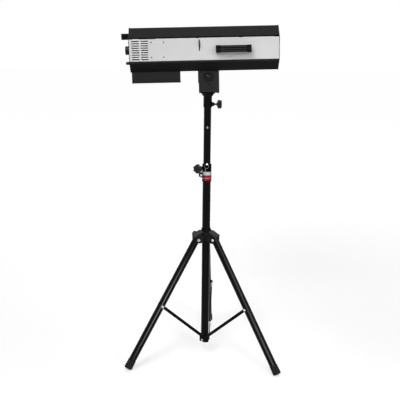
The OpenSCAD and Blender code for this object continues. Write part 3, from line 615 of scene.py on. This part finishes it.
vent_pitch = 0.0098
vent_rows = 9
vent_half_height = 0.0024
lip_inset = 0.0015
lip_reach = 0.0014
lip_rise = 0.0030
lip_sheet = 0.0007
lip_root = case_half - 0.0001
lip_section = [(0, lip_rise), (-lip_reach * 0.6, lip_rise * 0.7), (-lip_reach, 0),
               (-lip_reach + lip_sheet, -lip_sheet / 3), (-lip_reach * 0.1, lip_rise * 0.3)]
for side_name, side in (("near", -1), ("far", 1)):
    lips = bmesh.new()
    for left in vent_left:
        for row in range(vent_rows):
            top = (row - (vent_rows - 1) / 2) * vent_pitch + vent_half_height
            corners = [(left + lip_inset, side * (lip_root - y), top + z) for y, z in lip_section]
            face = lips.faces.new([lips.verts.new(corner) for corner in corners])
            grown = bmesh.ops.extrude_face_region(lips, geom=[face])
            moved = [v for v in grown["geom"] if isinstance(v, bmesh.types.BMVert)]
            bmesh.ops.translate(lips, verts=moved, vec=(vent_width - 2 * lip_inset, 0, 0))
    bmesh.ops.recalc_face_normals(lips, faces=lips.faces)
    bmesh.ops.transform(lips, matrix=beam_frame, verts=lips.verts)
    made("vent_lips_" + side_name, lips, panel_spray, "lamp", "panel_white")

# End plates: aluminium sheet cut to the case section and sprayed black all over, edges included. They
# are screwed to the ends of the profiles.
plate_black = surface("plate_black", (0.0075, 0.0075, 0.0078), (0.0050, 0.0050, 0.0053), (0.46, 0.60), 1300,
                      bump=0.00005, gloss=0.12, edge_wear_and_highlight=0.25)
softened("front_plate", plate_black, 0.0004)
softened("rear_plate", plate_black, 0.0003)

# Profile edges: stepped flanges along the panels, where the extrusions end. The upper one is in the darker
# glossy black of the tubes, as painted shade for the shadow gap under the top profile, and the lower one is
# in the paler black of the end plates, as a painted highlight on its lit face.
edge_face = case_half + 0.0007
edge_root = case_half - 0.006
edge_ends = (-0.3470, 0.3140)
edge_round = 0.0008
painted_light_edge_spans = [("profile_edge_top", 0.0484, 0.0548, tube_paint),
              ("profile_edge_bottom", -0.0560, -0.0484, plate_black)]
for name, low, high, finish in painted_light_edge_spans:
    flange = bmesh.new()
    edge_sides = (edge_ends[1] - edge_ends[0], edge_face - edge_root, high - low, 1)
    for facing in (-1, 1):
        edge_middle = (sum(edge_ends) / 2, facing * (edge_face + edge_root) / 2, (low + high) / 2)
        edge_place = beam_frame @ Matrix.Translation(edge_middle) @ Matrix.Diagonal(edge_sides)
        bmesh.ops.create_cube(flange, size=1.0, matrix=edge_place)
    bmesh.ops.bevel(flange, geom=flange.edges[:], offset=edge_round, segments=2, profile=0.5, affect="EDGES",
                    material=-1)
    made(name, flange, finish, "lamp", "case_black")

# Case screws: pan-head screws with a cross recess. Those in the end plates are zinc plated, those in the
# side panels are blackened.
end_face = (-0.350, 0.317)
end_spots = ((0.088, 0.034), (0.036, 0.088))
end_head = 0.004
side_spots = [(x, z) for x in (-0.2505, -0.196) for z in (-0.031, 0.0335)]
side_head = 0.003
blackened = surface("blackened_steel", (0.05, 0.05, 0.052), (0.03, 0.03, 0.032), (0.35, 0.5), 800, gloss=0.4,
                    metal=0.6)


def cross_head(shape, radius, place):
    """A domed screw head on +Z with a cross-shaped recess, set where the matrix says."""
    head = bmesh.new()
    dome = [(radius, 0), (radius, 0.10 * radius), (0.93 * radius, 0.34 * radius),
            (0.74 * radius, 0.53 * radius), (0.62 * radius, 0.60 * radius)]
    side = [head.verts.new((r, 0, h)) for r, h in dome]
    line = [head.edges.new(pair) for pair in zip(side, side[1:])]
    bmesh.ops.spin(head, geom=side + line, cent=(0, 0, 0), axis=(0, 0, 1), angle=math.tau, steps=24,
                   use_merge=True)
    bmesh.ops.remove_doubles(head, verts=head.verts, dist=1e-7)
    open_top = [e for e in head.edges if e.is_boundary and e.verts[0].co.z > 0.3 * radius]
    arm = 0.5 * radius
    web = 0.13 * radius
    corners = [(arm, web), (web, web), (web, arm)]
    cross = []
    for quarter in range(4):
        turn = Matrix.Rotation(quarter * math.pi / 2, 4, "Z")
        cross += [head.verts.new(turn @ Vector((x, y, 0.62 * radius))) for x, y in corners]
    recess = [head.edges.new((a, b)) for a, b in zip(cross, cross[1:] + cross[:1])]
    bmesh.ops.bridge_loops(head, edges=open_top + recess)
    walls = bmesh.ops.extrude_edge_only(head, edges=recess)
    deep = [g for g in walls["geom"] if isinstance(g, bmesh.types.BMVert)]
    bmesh.ops.translate(head, verts=deep, vec=(0, 0, -0.45 * radius))
    bmesh.ops.edgeloop_fill(head, edges=[g for g in walls["geom"] if isinstance(g, bmesh.types.BMEdge)])
    bmesh.ops.holes_fill(head, edges=[e for e in head.edges if e.is_boundary], sides=24)
    bmesh.ops.recalc_face_normals(head, faces=head.faces)
    bmesh.ops.transform(head, matrix=place, verts=head.verts)
    mesh = bpy.data.meshes.new("screw")
    head.to_mesh(mesh)
    head.free()
    shape.from_mesh(mesh)
    bpy.data.meshes.remove(mesh)


end_screws = bmesh.new()
for x, facing in zip(end_face, (-1, 1)):
    for y, z in end_spots:
        for sy in (-1, 1):
            for sz in (-1, 1):
                cross_head(end_screws, end_head, beam_frame @ Matrix.Translation((x, sy * y, sz * z))
                           @ Matrix.Rotation(facing * math.pi / 2, 4, "Y"))
made("end_screws", end_screws, zinc, "lamp", "bright_zinc", "case_screws")
side_screws = bmesh.new()
for facing in (-1, 1):
    for x, z in side_spots:
        cross_head(side_screws, side_head, beam_frame @ Matrix.Translation((x, facing * case_half, z))
                   @ Matrix.Rotation(-facing * math.pi / 2, 4, "X"))
made("side_screws", side_screws, blackened, "lamp", "bright_zinc")

# Handles: moulded pull handles, one on each side panel and one on the rear plate. Glossy ribs run along
# the grips, and dull round caps close the screw holes in the ends of the side handles.
handle_middle = 0.112
handle_length = 0.156
handle_height = 0.038
grip_inset = 0.038
grip_height = 0.0374
rear_handle_length = 0.128
rear_handle_lift = 0.060
rear_grip_height = 0.0334
rib_radius = 0.0020
rib_rows = (-0.0085, 0.0, 0.0085)
rear_rib_rows = (-0.0070, 0.0, 0.0070)
rib_sides = 16
rib_dive = 0.0036
rib_dive_run = 0.010
handle_black = surface("handle_black", (0.0030, 0.0030, 0.0031), (0.0020, 0.0020, 0.0021), (0.20, 0.28), 1100,
                       bump=0.00001, gloss=0.06, edge_wear_and_highlight=0.25)
rib_black = surface("rib_black", (0.0030, 0.0030, 0.0031), (0.0020, 0.0020, 0.0021), (0.07, 0.12), 1100,
                    gloss=0.42)
softened("side_handles", handle_black, 0.0022, segments=3)
softened("rear_handle", handle_black, 0.0020, segments=3)


def grip_ribs(shape, length, height, rows, place):
    """Round ribs along X, half sunk in a grip so many metres above its panel, that dive in at both ends."""
    shares = [i / 6 for i in range(7)]
    right_end = [(length / 2 - rib_dive_run * (1 - u), -rib_dive * u * u) for u in shares]
    left_end = [(-x, drop) for x, drop in reversed(right_end)]
    turns = [math.tau * i / rib_sides for i in range(rib_sides)]
    for row in rows:
        rings = []
        for x, drop in left_end + right_end:
            middle = Vector((x, row, height + drop))
            spokes = [Vector((0, math.cos(turn), math.sin(turn))) * rib_radius for turn in turns]
            rings.append([shape.verts.new(place @ (middle + spoke)) for spoke in spokes])
        for one, two in zip(rings, rings[1:]):
            for a, b, c, d in zip(one, one[1:] + one[:1], two[1:] + two[:1], two):
                shape.faces.new((a, b, c, d))
        shape.faces.new(rings[0])
        shape.faces.new(rings[-1])
    bmesh.ops.recalc_face_normals(shape, faces=shape.faces)


ribs = bmesh.new()
for facing in (-1, 1):
    on_side = beam_frame @ Matrix.Translation((handle_middle, facing * case_half, 0)) \
        @ Matrix.Rotation(-facing * math.pi / 2, 4, "X")
    grip_ribs(ribs, handle_length - grip_inset, grip_height, rib_rows, on_side)
on_rear = beam_frame @ Matrix.Translation((end_face[0], 0, rear_handle_lift)) \
    @ Matrix.Rotation(-math.pi / 2, 4, "Y") @ Matrix.Rotation(math.pi / 2, 4, "Z")
grip_ribs(ribs, rear_handle_length - grip_inset, rear_grip_height, rear_rib_rows, on_rear)
made("grip_ribs", ribs, rib_black, "lamp", "black_plastic")
cap_inset = 0.0125
cap_outline = millimetres((0, -1), (5.4, -1), (5.4, 0.2), (5.2, 0.4), (4.6, 0.5), (0, 0.5))
caps = bmesh.new()
for facing in (-1, 1):
    for end in (-1, 1):
        cap_along = handle_middle + end * (handle_length / 2 - cap_inset)
        cap_spot = beam_frame @ Vector((cap_along, facing * (case_half + handle_height), 0))
        turned(caps, cap_outline, cap_spot, beam_frame.to_3x3() @ Vector((0, facing, 0)))
made("handle_caps", caps, rubber, "lamp", "rubber")

# Driver box: folded steel sheet under the rear end, powder coated, with the LED driver's aluminium case
# inside it.
softened("driver_box", powder_black, 0.0008)
cast_aluminium = surface("cast_aluminium", (0.62, 0.63, 0.64), (0.50, 0.51, 0.52), (0.40, 0.55), 500,
                         bump=0.00003, metal=1.0)
softened("led_driver", cast_aluminium, 0.0010)

# Light engine: a finned heat sink with its fan, the LED on a yellow phosphor, and the condenser in a
# turned holder.
phosphor = surface("phosphor", (0.82, 0.68, 0.20), (0.74, 0.60, 0.15), (0.5, 0.6), 900, bump=0.00002)
lens_glass = bpy.data.materials.new("lens_glass")
lens_glass.use_nodes = True
glass_shader = lens_glass.node_tree.nodes["Principled BSDF"]
glass_shader.inputs["Base Color"].default_value = (0.93, 0.97, 0.97, 1)
glass_shader.inputs["Roughness"].default_value = 0.02
glass_shader.inputs["Transmission Weight"].default_value = 1.0
glass_shader.inputs["IOR"].default_value = 1.5
glass_shader.inputs["Coat Weight"].default_value = 0.3
glass_shader.inputs["Coat Tint"].default_value = (0.75, 0.70, 1.0, 1)
# The heat sink is coloured near black as painted shade, so that the inside of the case reads dark through the
# vent slots.
sink_painted_shade = surface("sink_painted_shade", (0.020, 0.020, 0.021), (0.012, 0.012, 0.013), (0.45, 0.60), 500,
                     bump=0.00003, gloss=0.2)
softened("heat_sink", sink_painted_shade, 0.0003)
softened("condenser_holder", cast_aluminium, 0.0006)
softened("fan_frame", moulded_black, 0.0006)
softened("fan_rotor", moulded_black, 0.0004)
dressed(phosphor, "led_module")
dressed(lens_glass, "condenser_lens", "focus_lens", "front_lens")

# Optics: the iris ring turns on its sheet housing, and the focus carriage runs on two ground rails.
# A turned ring holds the front lens.
softened("iris_housing", powder_black, 0.0005)
softened("iris_ring", powder_black, 0.0005)
softened("lens_carriage", moulded_black, 0.0006)
dressed(zinc, "lens_rails")
softened("lens_ring", anodised, 0.0008)

# Rear fittings: mains inlet, fuse holder and rocker switch snap into the rear plate, and the dimmer
# knob is pressed on its shaft, with a white pointer line.
switch_red = surface("switch_red", (0.34, 0.018, 0.022), (0.28, 0.012, 0.016), (0.25, 0.35), 600, gloss=0.5)
pointer_white = surface("pointer_white", (0.80, 0.80, 0.78), (0.74, 0.74, 0.72), (0.5, 0.6), 900)
softened("mains_inlet", moulded_black, 0.0005)
softened("switch_frame", moulded_black, 0.0004)
softened("power_switch", switch_red, 0.0006)
softened("fuse_holder", moulded_black, 0.0005)
dimmer_at, dimmer_axis = joint_line("dimmer_turn")
dimmer_outline = millimetres(
    (0, -12), (3, -12), (3, 0.3), (19.4, 0.3), (20, 0.9), (20, 3.4), (19.6, 4), (19, 4.1), (19, 14.6),
    (18.4, 16.2), (17, 17), (15.6, 17), (15, 16.4), (0, 16.4))
knob("dimmer_knob", dimmer_outline, lobes=18, depth=0.0008, grip=0.0175, base=dimmer_at, axis=dimmer_axis,
     steps=144)
pointer_face = 0.0165
pointer_lift = 0.0100
pointer_sides = (0.0006, 0.0014, 0.0085, 1)
pointer = bmesh.new()
pointer_middle = dimmer_at + dimmer_axis * pointer_face + Vector((0, 0, pointer_lift))
pointer_place = Matrix.Translation(pointer_middle) @ nose_up @ Matrix.Diagonal(pointer_sides)
bmesh.ops.create_cube(pointer, size=1.0, matrix=pointer_place)
bmesh.ops.bevel(pointer, geom=pointer.edges[:], offset=0.0002, segments=2, profile=0.5, affect="EDGES",
                material=-1)
made("dimmer_pointer", pointer, pointer_white, "dimmer_knob", "panel_white")
